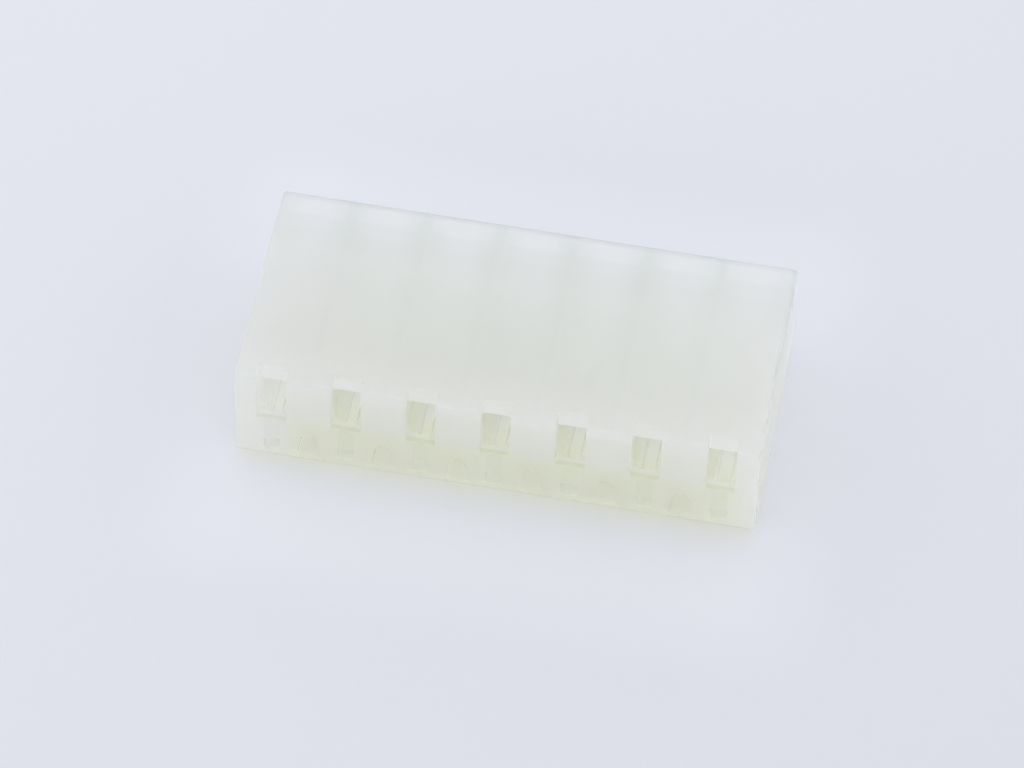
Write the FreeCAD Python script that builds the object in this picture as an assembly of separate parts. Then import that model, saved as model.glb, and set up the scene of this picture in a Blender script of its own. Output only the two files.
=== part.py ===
import FreeCAD, Part
import math
import os

# Crimp terminal housing of a wire to board connector, moulded in one piece from natural nylon.
# A row of circuits lies along X. The mating face, where the header's pins enter, looks to -Y and the
# wires leave to +Y. The housing lies on its window side. The origin is the middle of the underside.
# All sizes are in millimetres.

# Row and outline
circuits = 7
pitch = 3.96
stacking_clearance = 0.05
housing_depth = 12.70
housing_height = 6.35
edge_radius = 0.16

# Walls around each circuit
front_wall = 0.56
floor_wall = 0.55
roof_at_front = 1.05
roof_at_mouth = 0.73

# Chamber that holds a crimped terminal, open at the wire end
chamber_width = 2.30
chamber_floor = 2.98
chamber_corner = 0.25

# Shoulders that widen the upper part of a chamber, up to a thin wall towards its neighbour
shoulder_wall = 0.60
shoulder_floor = 4.20

# Channel under the chamber that the terminal's locking lance slides along, from the mouth to the window
channel_width = 1.58
channel_corner = 0.20

# Window in the underside where the lance snaps out behind an edge
window_width = 1.30
window_length = 2.60
window_from_front = 5.00

# Slot that a header pin enters at the level of the chamber's floor, open at the top through a notch in the roof
slot_width = 1.58
notch_depth = 0.82

# Narrow groove that carries the channel on to the front wall, and the small hole at the foot of that wall
groove_width = 0.87
groove_corner = 0.12
foot_hole_top = 1.42

# Arched pocket that cores out the thick web between two channels
arch_width = 1.28
arch_height = 1.80
arch_sill = 0.30
arch_top_radius = 0.42
arch_depth = 2.00
arch_draft = 0.04

# Shallow relief in the roof of each chamber, above the terminal's nose
relief_width = 1.05
relief_length = 1.30
relief_from_front = 2.75
relief_roof = 0.60

overshoot = 0.50

row_length = circuits * pitch - stacking_clearance
front_y = -housing_depth / 2
mouth_y = housing_depth / 2
inner_y = front_y + front_wall
window_y = front_y + window_from_front
shoulder_reach = (pitch - shoulder_wall) / 2
roof_slope = (roof_at_front - roof_at_mouth) / (housing_depth - front_wall)


def circuit_x(number):
    return (number - (circuits - 1) / 2) * pitch


def roof_under(y):
    """Height of the chamber's roof at y: the roof thins towards the mouth, as the core's draft asks."""
    return housing_height - roof_at_front + roof_slope * (y - inner_y)


def rounded_section(y, x_mid, width, z_low, z_high, corner):
    """Closed outline in the plane at y: a rectangle with four round corners."""
    left, right = x_mid - width / 2, x_mid + width / 2
    corner = min(corner, 0.45 * width, 0.45 * (z_high - z_low))
    bend = corner * (1 - math.sqrt(0.5))

    def point(x, z):
        return FreeCAD.Vector(x, y, z)

    edges = [
        Part.makeLine(point(left + corner, z_low), point(right - corner, z_low)),
        Part.Arc(point(right - corner, z_low), point(right - bend, z_low + bend),
                 point(right, z_low + corner)).toShape(),
        Part.makeLine(point(right, z_low + corner), point(right, z_high - corner)),
        Part.Arc(point(right, z_high - corner), point(right - bend, z_high - bend),
                 point(right - corner, z_high)).toShape(),
        Part.makeLine(point(right - corner, z_high), point(left + corner, z_high)),
        Part.Arc(point(left + corner, z_high), point(left + bend, z_high - bend),
                 point(left, z_high - corner)).toShape(),
        Part.makeLine(point(left, z_high - corner), point(left, z_low + corner)),
        Part.Arc(point(left, z_low + corner), point(left + bend, z_low + bend),
                 point(left + corner, z_low)).toShape(),
    ]
    return Part.Wire(edges)


def arch_section(y, x_mid, narrowing):
    """Closed outline of an arched pocket at y: flat sill, leaning sides, round top."""
    half = arch_width / 2 - narrowing
    radius = arch_top_radius - narrowing
    centre_z = arch_sill + arch_height - narrowing - radius
    reach = math.hypot(half, centre_z - arch_sill)
    lean = math.acos(radius / reach) - math.atan2(centre_z - arch_sill, half)
    touch_x, touch_z = radius * math.cos(lean), centre_z + radius * math.sin(lean)

    def point(x, z):
        return FreeCAD.Vector(x_mid + x, y, z)

    edges = [
        Part.makeLine(point(-half, arch_sill), point(half, arch_sill)),
        Part.makeLine(point(half, arch_sill), point(touch_x, touch_z)),
        Part.Arc(point(touch_x, touch_z), point(0, centre_z + radius), point(-touch_x, touch_z)).toShape(),
        Part.makeLine(point(-touch_x, touch_z), point(-half, arch_sill)),
    ]
    return Part.Wire(edges)


def block(width, y_from, y_to, z_from, z_to, x_mid):
    """Plain block centred on x_mid."""
    corner = FreeCAD.Vector(x_mid - width / 2, y_from, z_from)
    return Part.makeBox(width, y_to - y_from, z_to - z_from, corner)


def outer_block():
    """The housing before coring, with its edges broken as the mould leaves them."""
    blank = block(row_length, front_y, mouth_y, 0, housing_height, 0)
    return blank.makeFillet(edge_radius, blank.Edges)


def tunnel(left, right, z_floor):
    """Straight core from the front wall out of the mouth, with round corners and the leaning roof."""
    sections = [rounded_section(y, (left + right) / 2, right - left, z_floor, roof_under(y), chamber_corner)
                for y in (inner_y, mouth_y + overshoot)]
    return Part.makeLoft(sections, True, True)


def chamber_core(number):
    """Core of one chamber. Its shoulders reach towards the neighbours but never towards an end face."""
    x_mid = circuit_x(number)
    left = x_mid - (shoulder_reach if number > 0 else chamber_width / 2)
    right = x_mid + (shoulder_reach if number < circuits - 1 else chamber_width / 2)
    lower = tunnel(x_mid - chamber_width / 2, x_mid + chamber_width / 2, chamber_floor)
    return lower.fuse(tunnel(left, right, shoulder_floor))


def floor_groove(x_mid, width, corner, y_from, y_to):
    """Straight core in the floor under a chamber, open upwards into it."""
    outline = rounded_section(y_from, x_mid, width, floor_wall, chamber_floor + 2 * corner, corner)
    return Part.Face(outline).extrude(FreeCAD.Vector(0, y_to - y_from, 0))


def front_cuts(x_mid):
    """Pin slot with its roof notch, and the foot hole under it."""
    slot = block(slot_width, front_y - overshoot, front_y + notch_depth,
                 chamber_floor, housing_height + overshoot, x_mid)
    foot = rounded_section(front_y - overshoot, x_mid, groove_width, floor_wall, foot_hole_top, groove_corner)
    hole = Part.Face(foot).extrude(FreeCAD.Vector(0, 2 * overshoot + front_wall, 0))
    return [slot, hole]


def lance_window(x_mid):
    """Window through the floor of the channel, with the steep edge that holds the lance towards the wire."""
    return block(window_width, window_y, window_y + window_length, -overshoot,
                 floor_wall + overshoot / 2, x_mid)


def roof_relief(x_mid):
    relief_y = front_y + relief_from_front
    return block(relief_width, relief_y, relief_y + relief_length,
                 roof_under(relief_y) - overshoot / 2, housing_height - relief_roof, x_mid)


def arch_pocket(x_mid):
    """Blind pocket from the mating face into the web between two channels, narrowing with draft."""
    growth = arch_draft * overshoot / arch_depth
    sections = [arch_section(front_y - overshoot, x_mid, -growth),
                arch_section(front_y + arch_depth, x_mid, arch_draft)]
    return Part.makeLoft(sections, True, True)


cores = []
for number in range(circuits):
    x_mid = circuit_x(number)
    cores += [
        chamber_core(number),
        floor_groove(x_mid, channel_width, channel_corner, window_y, mouth_y + overshoot),
        floor_groove(x_mid, groove_width, groove_corner, inner_y, window_y + overshoot),
        lance_window(x_mid),
        roof_relief(x_mid),
    ]
    cores += front_cuts(x_mid)
for number in range(circuits - 1):
    cores.append(arch_pocket(circuit_x(number) + pitch / 2))

housing = outer_block()
for core in cores:
    housing = housing.cut(core)
housing = housing.removeSplitter()
if housing.ShapeType == "Compound" and len(housing.Solids) == 1:
    housing = housing.Solids[0]

os.makedirs("parts", exist_ok=True)
housing.exportStep("parts/housing.step")
print("housing", housing.ShapeType, "solids", len(housing.Solids), "valid", housing.isValid(),
      "volume", round(housing.Volume, 3), "box", housing.BoundBox)
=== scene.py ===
# A crimp terminal housing of a wire to board connector, seven circuits in a row, lying on its window side.
# The real one is moulded in one piece from natural nylon, which is milky, faintly yellow-green and lets
# light through, so its walls and chambers show as soft shapes under the roof.
import bpy
import math
from mathutils import Matrix, Vector

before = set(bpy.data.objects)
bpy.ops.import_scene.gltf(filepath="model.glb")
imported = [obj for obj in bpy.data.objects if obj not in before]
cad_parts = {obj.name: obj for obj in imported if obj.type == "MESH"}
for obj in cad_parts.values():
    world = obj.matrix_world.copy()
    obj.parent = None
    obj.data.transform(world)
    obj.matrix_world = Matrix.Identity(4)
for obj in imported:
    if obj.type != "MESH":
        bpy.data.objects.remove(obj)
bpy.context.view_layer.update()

# The housing. Uncoloured nylon 66 from a satin mould. Light enters it, scatters more than once in each
# millimetre and turns yellow-green with depth. The skin has fine grain, slow flow marks and a few specks.
pitch = 0.00396
end_x = 0.013835
front_y = -0.00635
back_y = 0.00635
top_z = 0.00635

scatter_per_metre = 1400
stain_colour = (0.77, 0.79, 0.68, 1)
stain_per_metre = 36
clear_colour = (1.0, 1.0, 1.0, 1)
flow_colour = (0.965, 0.97, 0.955, 1)
flow_marks_per_metre = (500, 160, 500)
flow_detail = 4.0
flow_wander = 0.6
speck_colour = (0.62, 0.60, 0.50, 1)
specks_per_metre = 420
speck_share = 0.035
speck_reach = 0.055
grain_per_metre = 9000
grain_detail = 2.0
grain_strength = 0.5
grain_height = 0.000004
nylon_ior = 1.53

# Painted light and shade on the skin, each inside a box with soft faces: colour, where, centre, reach and
# blur.
# A box on the "row" is there once. A box on the "circuit" comes back at each circuit, to its left and right
# alike, with X measured from the circuit's middle, so that half a pitch is the web to the next one.
painted_light_and_shade = (
    # Painted shade greys the roof a little, more so to the left, at the right end and where it thins
    # towards the mouths.
    ((0.962, 0.962, 0.977, 1), "row", (0, 0, top_z), (0.02, 0.02, 0.0003), 0.0001),
    ((0.965, 0.965, 0.965, 1), "row", (-end_x, 0, top_z), (0.0045, 0.02, 0.0003), 0.0035),
    ((0.965, 0.965, 0.945, 1), "row", (end_x, -0.001, top_z), (0.0022, 0.006, 0.0003), 0.0015),
    ((0.922, 0.942, 0.937, 1), "row", (0, back_y, top_z), (0.02, 0.0034, 0.0003), 0.0010),
    # Painted light lightens the roof's middle.
    ((1.01, 1.018, 1.01, 1), "row", (0.002, 0, top_z), (0.010, 0.0030, 0.0003), 0.002),
    # Painted shade: its edges at the wire end and at the right are darker lines, where the rounded edges
    # bend the light.
    ((0.72, 0.75, 0.78, 1), "row", (0, back_y, top_z), (0.02, 0.00015, 0.00015), 0.00003),
    ((0.93, 0.935, 0.955, 1), "row", (0, back_y, top_z), (0.02, 0.00038, 0.0003), 0.0001),
    ((0.90, 0.92, 0.93, 1), "row", (end_x, 0.003, top_z), (0.00013, 0.0042, 0.00013), 0.00003),
    # Painted light: a lighter patch at each mouth that narrows inwards, for light that comes up through it,
    # and painted shade over the webs between them.
    ((1.06, 1.055, 1.065, 1), "circuit", (0, back_y, top_z), (0.00160, 0.0014, 0.0003), 0.00015),
    ((1.03, 1.025, 1.035, 1), "circuit", (0, back_y, top_z), (0.00110, 0.0024, 0.0003), 0.0002),
    ((1.015, 1.015, 1.01, 1), "circuit", (0, back_y, top_z), (0.00075, 0.0038, 0.0003), 0.0003),
    ((0.975, 0.98, 0.98, 1), "circuit", (pitch / 2, 0, top_z), (0.00020, 0.02, 0.0003), 0.00012),
    # Painted shade makes the front warmer and its thick lower half the yellowest part, for light that has
    # come far through the nylon, and painted light lightens its foot.
    ((0.985, 0.982, 0.965, 1), "row", (0, front_y, 0.003), (0.02, 0.0045, 0.01), 0.0045),
    ((0.994, 1.0, 0.93, 1), "row", (0.0010, -0.0062, 0), (0.0120, 0.0032, 0.0031), 0.00025),
    ((1.0, 1.0, 0.955, 1), "row", (0.0010, front_y, 0.0024), (0.0118, 0.0003, 0.0007), 0.0002),
    ((1.05, 1.045, 1.03, 1), "row", (0, front_y, 0.0002), (0.0120, 0.0003, 0.0004), 0.0001),
    # Painted light and shade around each pin slot: a lighter notch, a dark sill, a yellower right part of
    # the chamber's floor behind it, and a darker wall below.
    ((1.025, 1.025, 1.03, 1), "circuit", (0, front_y, top_z), (0.00079, 0.0009, 0.0011), 0.00004),
    ((0.85, 0.87, 0.75, 1), "circuit", (0, front_y + 0.00015, 0.00298), (0.00079, 0.00013, 0.00006), 0.00003),
    ((1.0, 0.995, 0.955, 1), "circuit", (0.0008, -0.0047, 0.00298), (0.00038, 0.0011, 0.0001), 0.00002),
    ((0.93, 0.945, 0.96, 1), "circuit", (0, front_y, 0.00175), (0.00043, 0.0002, 0.0012), 0.00006),
    # Painted shade in the foot hole, and a bluish painted shade in the arched pocket in the web.
    ((0.93, 0.94, 0.94, 1), "circuit", (0, front_y + 0.0004, 0.00098), (0.00045, 0.0003, 0.0005), 0.00004),
    ((0.975, 0.97, 1.035, 1), "circuit", (pitch / 2, front_y + 0.001, 0.0012), (0.0006, 0.0009, 0.0009),
     0.00006),
)

# The mould left the webs' walls and the roof's relief rough, and the groove under each slot smooth:
# roughness, centre and reach of a box that comes back at each circuit.
skin_roughness = (0.29, 0.31)
rough_and_smooth = (
    (0.60, (pitch / 2, 0, top_z / 2), (0.0009, 0.00625, 0.0031)),
    (0.60, (0, front_y + 0.0034, 0.0053), (0.0008, 0.0010, 0.0007)),
    (0.12, (0, front_y + 0.0034, 0.0015), (0.0008, 0.0026, 0.0016)),
)
roughness_blur = 0.00005


def reckon(tree, operation, first, second):
    """One step of arithmetic between two sockets or numbers."""
    step = tree.nodes.new("ShaderNodeMath")
    step.operation = operation
    for slot, value in zip(step.inputs, (first, second)):
        if isinstance(value, (int, float)):
            slot.default_value = value
        else:
            tree.links.new(value, slot)
    return step.outputs["Value"]


soft_box = bpy.data.node_groups.new("soft_box", "ShaderNodeTree")
for name in ("Place", "Centre", "Reach"):
    soft_box.interface.new_socket(name, in_out="INPUT", socket_type="NodeSocketVector")
soft_box.interface.new_socket("Blur", in_out="INPUT", socket_type="NodeSocketFloat")
soft_box.interface.new_socket("Inside", in_out="OUTPUT", socket_type="NodeSocketFloat")
given = soft_box.nodes.new("NodeGroupInput")
result = soft_box.nodes.new("NodeGroupOutput")
offset = soft_box.nodes.new("ShaderNodeVectorMath")
offset.operation = "SUBTRACT"
soft_box.links.new(given.outputs["Place"], offset.inputs[0])
soft_box.links.new(given.outputs["Centre"], offset.inputs[1])
away = soft_box.nodes.new("ShaderNodeVectorMath")
away.operation = "ABSOLUTE"
soft_box.links.new(offset.outputs["Vector"], away.inputs[0])
depth = soft_box.nodes.new("ShaderNodeVectorMath")
depth.operation = "SUBTRACT"
soft_box.links.new(given.outputs["Reach"], depth.inputs[0])
soft_box.links.new(away.outputs["Vector"], depth.inputs[1])
depths = soft_box.nodes.new("ShaderNodeSeparateXYZ")
soft_box.links.new(depth.outputs["Vector"], depths.inputs["Vector"])
minus_blur = reckon(soft_box, "MULTIPLY", given.outputs["Blur"], -1)
inside = None
for axis in "XYZ":
    fade = soft_box.nodes.new("ShaderNodeMapRange")
    fade.interpolation_type = "SMOOTHSTEP"
    soft_box.links.new(depths.outputs[axis], fade.inputs["Value"])
    soft_box.links.new(minus_blur, fade.inputs["From Min"])
    soft_box.links.new(given.outputs["Blur"], fade.inputs["From Max"])
    if inside is None:
        inside = fade.outputs["Result"]
    else:
        inside = reckon(soft_box, "MULTIPLY", inside, fade.outputs["Result"])
soft_box.links.new(inside, result.inputs["Inside"])


def inside_box(tree, place, centre, reach, blur):
    """Mask that is 1 inside a box and fades out over its faces."""
    box = tree.nodes.new("ShaderNodeGroup")
    box.node_tree = soft_box
    tree.links.new(place, box.inputs["Place"])
    box.inputs["Centre"].default_value = centre
    box.inputs["Reach"].default_value = reach
    box.inputs["Blur"].default_value = blur
    return box.outputs["Inside"]


def mix_colours(tree, kind, share, first, second):
    """Colour mix: a share of the second colour over the first."""
    mix = tree.nodes.new("ShaderNodeMixRGB")
    mix.blend_type = kind
    for slot, value in zip(mix.inputs, (share, first, second)):
        if isinstance(value, (int, float, tuple)):
            slot.default_value = value
        else:
            tree.links.new(value, slot)
    return mix.outputs["Color"]


def from_nearest_circuit(tree, place):
    """Place with its X measured from the middle of the nearest circuit, the same to the left and the right."""
    axes = tree.nodes.new("ShaderNodeSeparateXYZ")
    tree.links.new(place, axes.inputs["Vector"])
    folded = tree.nodes.new("ShaderNodeCombineXYZ")
    tree.links.new(reckon(tree, "PINGPONG", axes.outputs["X"], pitch / 2), folded.inputs["X"])
    tree.links.new(axes.outputs["Y"], folded.inputs["Y"])
    tree.links.new(axes.outputs["Z"], folded.inputs["Z"])
    return folded.outputs["Vector"]


nylon = bpy.data.materials.new("natural_nylon")
nylon.use_nodes = True
nylon_tree = nylon.node_tree
skin = nylon_tree.nodes["Principled BSDF"]
skin.inputs["IOR"].default_value = nylon_ior
skin.inputs["Transmission Weight"].default_value = 1.0

place = nylon_tree.nodes.new("ShaderNodeTexCoord").outputs["Object"]
places = {"row": place, "circuit": from_nearest_circuit(nylon_tree, place)}
stretch = nylon_tree.nodes.new("ShaderNodeMapping")
stretch.inputs["Scale"].default_value = flow_marks_per_metre
nylon_tree.links.new(place, stretch.inputs["Vector"])
flow = nylon_tree.nodes.new("ShaderNodeTexNoise")
flow.inputs["Scale"].default_value = 1.0
flow.inputs["Detail"].default_value = flow_detail
flow.inputs["Distortion"].default_value = flow_wander
nylon_tree.links.new(stretch.outputs["Vector"], flow.inputs["Vector"])
colour = mix_colours(nylon_tree, "MIX", flow.outputs["Fac"], clear_colour, flow_colour)

specks = nylon_tree.nodes.new("ShaderNodeTexVoronoi")
specks.inputs["Scale"].default_value = specks_per_metre
nylon_tree.links.new(place, specks.inputs["Vector"])
speck_dice = nylon_tree.nodes.new("ShaderNodeSeparateColor")
nylon_tree.links.new(specks.outputs["Color"], speck_dice.inputs["Color"])
near_speck = reckon(nylon_tree, "LESS_THAN", specks.outputs["Distance"], speck_reach)
chosen_speck = reckon(nylon_tree, "LESS_THAN", speck_dice.outputs["Red"], speck_share)
colour = mix_colours(nylon_tree, "MIX", reckon(nylon_tree, "MULTIPLY", near_speck, chosen_speck),
                     colour, speck_colour)
# Each box multiplies its painted light or shade into the skin's colour.
for painted_colour, where, centre, reach, blur in painted_light_and_shade:
    painted_mask = inside_box(nylon_tree, places[where], centre, reach, blur)
    colour = mix_colours(nylon_tree, "MULTIPLY", painted_mask, colour, painted_colour)
nylon_tree.links.new(colour, skin.inputs["Base Color"])

grain = nylon_tree.nodes.new("ShaderNodeTexNoise")
grain.inputs["Scale"].default_value = grain_per_metre
grain.inputs["Detail"].default_value = grain_detail
nylon_tree.links.new(place, grain.inputs["Vector"])
grain_bump = nylon_tree.nodes.new("ShaderNodeBump")
grain_bump.inputs["Strength"].default_value = grain_strength
grain_bump.inputs["Distance"].default_value = grain_height
nylon_tree.links.new(grain.outputs["Fac"], grain_bump.inputs["Height"])
nylon_tree.links.new(grain_bump.outputs["Normal"], skin.inputs["Normal"])
satin = nylon_tree.nodes.new("ShaderNodeMapRange")
satin.inputs["To Min"].default_value, satin.inputs["To Max"].default_value = skin_roughness
nylon_tree.links.new(flow.outputs["Fac"], satin.inputs["Value"])
roughness = satin.outputs["Result"]
for box_roughness, centre, reach in rough_and_smooth:
    change = nylon_tree.nodes.new("ShaderNodeMapRange")
    nylon_tree.links.new(inside_box(nylon_tree, places["circuit"], centre, reach, roughness_blur),
                         change.inputs["Value"])
    nylon_tree.links.new(roughness, change.inputs["To Min"])
    change.inputs["To Max"].default_value = box_roughness
    roughness = change.outputs["Result"]
nylon_tree.links.new(roughness, skin.inputs["Roughness"])

milk = nylon_tree.nodes.new("ShaderNodeVolumeScatter")
milk.inputs["Color"].default_value = clear_colour
milk.inputs["Density"].default_value = scatter_per_metre
stain = nylon_tree.nodes.new("ShaderNodeVolumeAbsorption")
stain.inputs["Color"].default_value = stain_colour
stain.inputs["Density"].default_value = stain_per_metre
body = nylon_tree.nodes.new("ShaderNodeAddShader")
nylon_tree.links.new(milk.outputs["Volume"], body.inputs[0])
nylon_tree.links.new(stain.outputs["Volume"], body.inputs[1])
nylon_tree.links.new(body.outputs["Shader"], nylon_tree.nodes["Material Output"].inputs["Volume"])

housing = bpy.data.objects["housing"]
housing.data.materials.clear()
housing.data.materials.append(nylon)

# The paper. A pale blue-white sheet that the housing lies on, with a faint lavender mottle. Painted shade
# makes it a little darker to the front, to the right and just in front of the housing. Painted light makes
# it lighter around and under the housing, and adds greenish light and a faint glow at its foot. To rays
# that come out of the nylon it partly glows, and under the housing that painted glow stands in for the
# light that soaks down through the housing.
floor_half = 0.6
floor_z = -0.00003
paper_colour = (0.782, 0.792, 0.838, 1)
lavender_colour = (0.790, 0.784, 0.841, 1)
mottle_per_metre = 110
mottle_detail = 3.0
paper_roughness = 0.9
fall_right = 0.70
fall_front = 0.67
darkest_shade = 0.9
lightest_shade = 1.05
middle = (0, 0, 0)
footprint = (0.0138, 0.0063, 0.001)
# Painted light: the sheet is lighter around the housing.
halo_colour = (1.090, 1.086, 1.084, 1)
halo = (middle, (0.0165, 0.0138, 0.001), 0.0035)
# Painted light: a greenish cast and a faint glow on the sheet at the housing's foot.
spill_colour = (0.99, 0.99, 0.91, 1)
spill = ((-0.0001, -0.0006, 0), footprint, 0.0006)
spill_glow = 0.10
# Painted shade on the sheet just in front of the housing.
front_shade_colour = (0.972, 0.975, 0.942, 1)
front_shade = ((0.0003, -0.0062, 0), (0.0138, 0.0018, 0.001), 0.0011)
# Painted light: the sheet under the housing is lighter, for light that soaks down through the nylon.
lighter_under_housing_colour = (0.95, 0.95, 0.92, 1)
under_housing = (middle, (0.0134, 0.0059, 0.001), 0.0002)
# A painted glow, seen by rays that come out of the nylon: under the housing it stands in for the light that
# soaks down through it, and it is stronger under the grooves.
glow_under_nylon = (0.74, 0.75, 0.72, 1)
under_nylon = (middle, footprint, 0.0008)
under_nylon_share = 0.6
glow_under_grooves = (0.83, 0.85, 0.77, 1)
under_grooves = ((0, -0.0032, 0), (0.0009, 0.0012, 0.001), 0.0003)
under_grooves_share = 0.10

paper = bpy.data.materials.new("paper")
paper.use_nodes = True
paper.cycles.emission_sampling = "NONE"
paper_tree = paper.node_tree
paper_skin = paper_tree.nodes["Principled BSDF"]
paper_skin.inputs["Roughness"].default_value = paper_roughness
paper_skin.inputs["Specular IOR Level"].default_value = 0.0
on_paper = paper_tree.nodes.new("ShaderNodeTexCoord").outputs["Object"]
paper_axes = paper_tree.nodes.new("ShaderNodeSeparateXYZ")
paper_tree.links.new(on_paper, paper_axes.inputs["Vector"])
mottle = paper_tree.nodes.new("ShaderNodeTexNoise")
mottle.inputs["Scale"].default_value = mottle_per_metre
mottle.inputs["Detail"].default_value = mottle_detail
paper_tree.links.new(on_paper, mottle.inputs["Vector"])
sheet = mix_colours(paper_tree, "MIX", mottle.outputs["Fac"], paper_colour, lavender_colour)
# Painted shade: the sheet darkens towards the front and the right.
falling = reckon(paper_tree, "SUBTRACT", reckon(paper_tree, "MULTIPLY", paper_axes.outputs["Y"], fall_front),
               reckon(paper_tree, "MULTIPLY", paper_axes.outputs["X"], fall_right))
shade = reckon(paper_tree, "MAXIMUM", reckon(paper_tree, "ADD", falling, 1.0), darkest_shade)
shade = reckon(paper_tree, "MINIMUM", shade, lightest_shade)
sheet = mix_colours(paper_tree, "MULTIPLY", 1.0, sheet, shade)
spilled_on = inside_box(paper_tree, on_paper, *spill)
for kind, where, patch_colour in (
        ("MULTIPLY", inside_box(paper_tree, on_paper, *halo), halo_colour),
        ("MULTIPLY", spilled_on, spill_colour),
        ("MULTIPLY", inside_box(paper_tree, on_paper, *front_shade), front_shade_colour),
        ("MIX", inside_box(paper_tree, on_paper, *under_housing), lighter_under_housing_colour)):
    sheet = mix_colours(paper_tree, kind, where, sheet, patch_colour)
paper_tree.links.new(sheet, paper_skin.inputs["Base Color"])

# Painted glow: where the sheet glows under the housing and, more, under each groove.
under_nylon_mask = inside_box(paper_tree, on_paper, *under_nylon)
groove_glow_mask = inside_box(paper_tree, from_nearest_circuit(paper_tree, on_paper), *under_grooves)
groove_glow_mask = reckon(paper_tree, "MULTIPLY", groove_glow_mask, under_nylon_mask)
glow_colour = mix_colours(paper_tree, "MIX", under_nylon_mask, paper_colour, glow_under_nylon)
glow_colour = mix_colours(paper_tree, "MIX", groove_glow_mask, glow_colour, glow_under_grooves)
glow = paper_tree.nodes.new("ShaderNodeEmission")
paper_tree.links.new(glow_colour, glow.inputs["Color"])
ray = paper_tree.nodes.new("ShaderNodeLightPath")
from_nylon = reckon(paper_tree, "MAXIMUM", ray.outputs["Is Transmission Ray"],
                    ray.outputs["Is Volume Scatter Ray"])
glow_share_from_nylon = reckon(paper_tree, "MULTIPLY", groove_glow_mask, under_grooves_share)
glow_share_from_nylon = reckon(paper_tree, "ADD", under_nylon_share, glow_share_from_nylon)
glow_share = reckon(paper_tree, "MAXIMUM", reckon(paper_tree, "MULTIPLY", from_nylon, glow_share_from_nylon),
                  reckon(paper_tree, "MULTIPLY", spilled_on, spill_glow))
lit_paper = paper_tree.nodes.new("ShaderNodeMixShader")
paper_tree.links.new(glow_share, lit_paper.inputs["Fac"])
paper_tree.links.new(paper_skin.outputs["BSDF"], lit_paper.inputs[1])
paper_tree.links.new(glow.outputs["Emission"], lit_paper.inputs[2])
paper_tree.links.new(lit_paper.outputs["Shader"], paper_tree.nodes["Material Output"].inputs["Surface"])

floor_mesh = bpy.data.meshes.new("floor")
corners = [(-floor_half, -floor_half, floor_z), (floor_half, -floor_half, floor_z),
           (floor_half, floor_half, floor_z), (-floor_half, floor_half, floor_z)]
floor_mesh.from_pydata(corners, [], [(0, 1, 2, 3)])
floor_mesh.materials.append(paper)
floor = bpy.data.objects.new("floor", floor_mesh)
bpy.context.collection.objects.link(floor)

# The light. A white room lights the housing evenly from all sides. Light takes many short steps through
# milky nylon before it comes out again, so its rays may turn often.
room_colour = (0.95, 0.97, 1, 1)
room_strength = 1.0
surface_turns = 128
milk_turns = 64
paper_turns = 32

room = bpy.data.worlds.new("room")
bpy.context.scene.world = room
room.use_nodes = True
room.cycles.sampling_method = "NONE"
room_light = room.node_tree.nodes["Background"]
room_light.inputs["Color"].default_value = room_colour
room_light.inputs["Strength"].default_value = room_strength
cycles = bpy.context.scene.cycles
cycles.max_bounces = surface_turns
cycles.transmission_bounces = surface_turns
cycles.glossy_bounces = milk_turns
cycles.volume_bounces = milk_turns
cycles.diffuse_bounces = paper_turns
cycles.blur_glossy = 0.0

# The camera. It looks down on the mating face from a third of a metre, slightly from the right.
azimuth = 0.159548
elevation = 0.899727
roll = 0.030790
distance = 80.483 * pitch
slide_right = 0.051378 * pitch
slide_up = -0.160971 * pitch
focal_in_widths = 6001.6 / 1024
sensor_width = 36
nearest_seen = 0.01

back = Vector((math.sin(azimuth) * math.cos(elevation), -math.cos(azimuth) * math.cos(elevation),
               math.sin(elevation)))
level_right = Vector((math.cos(azimuth), math.sin(azimuth), 0))
level_up = back.cross(level_right)
right = math.cos(roll) * level_right + math.sin(roll) * level_up
up = -math.sin(roll) * level_right + math.cos(roll) * level_up
camera_data = bpy.data.cameras.new("camera")
camera_data.sensor_fit = "HORIZONTAL"
camera_data.sensor_width = sensor_width
camera_data.lens = sensor_width * focal_in_widths
camera_data.clip_start = nearest_seen
camera = bpy.data.objects.new("camera", camera_data)
bpy.context.collection.objects.link(camera)
camera_place = back * distance - right * slide_right - up * slide_up
turn = Matrix((right, up, back)).transposed()
camera.matrix_world = Matrix.Translation(camera_place) @ turn.to_4x4()
bpy.context.scene.camera = camera
bpy.context.scene.view_settings.view_transform = "Standard"
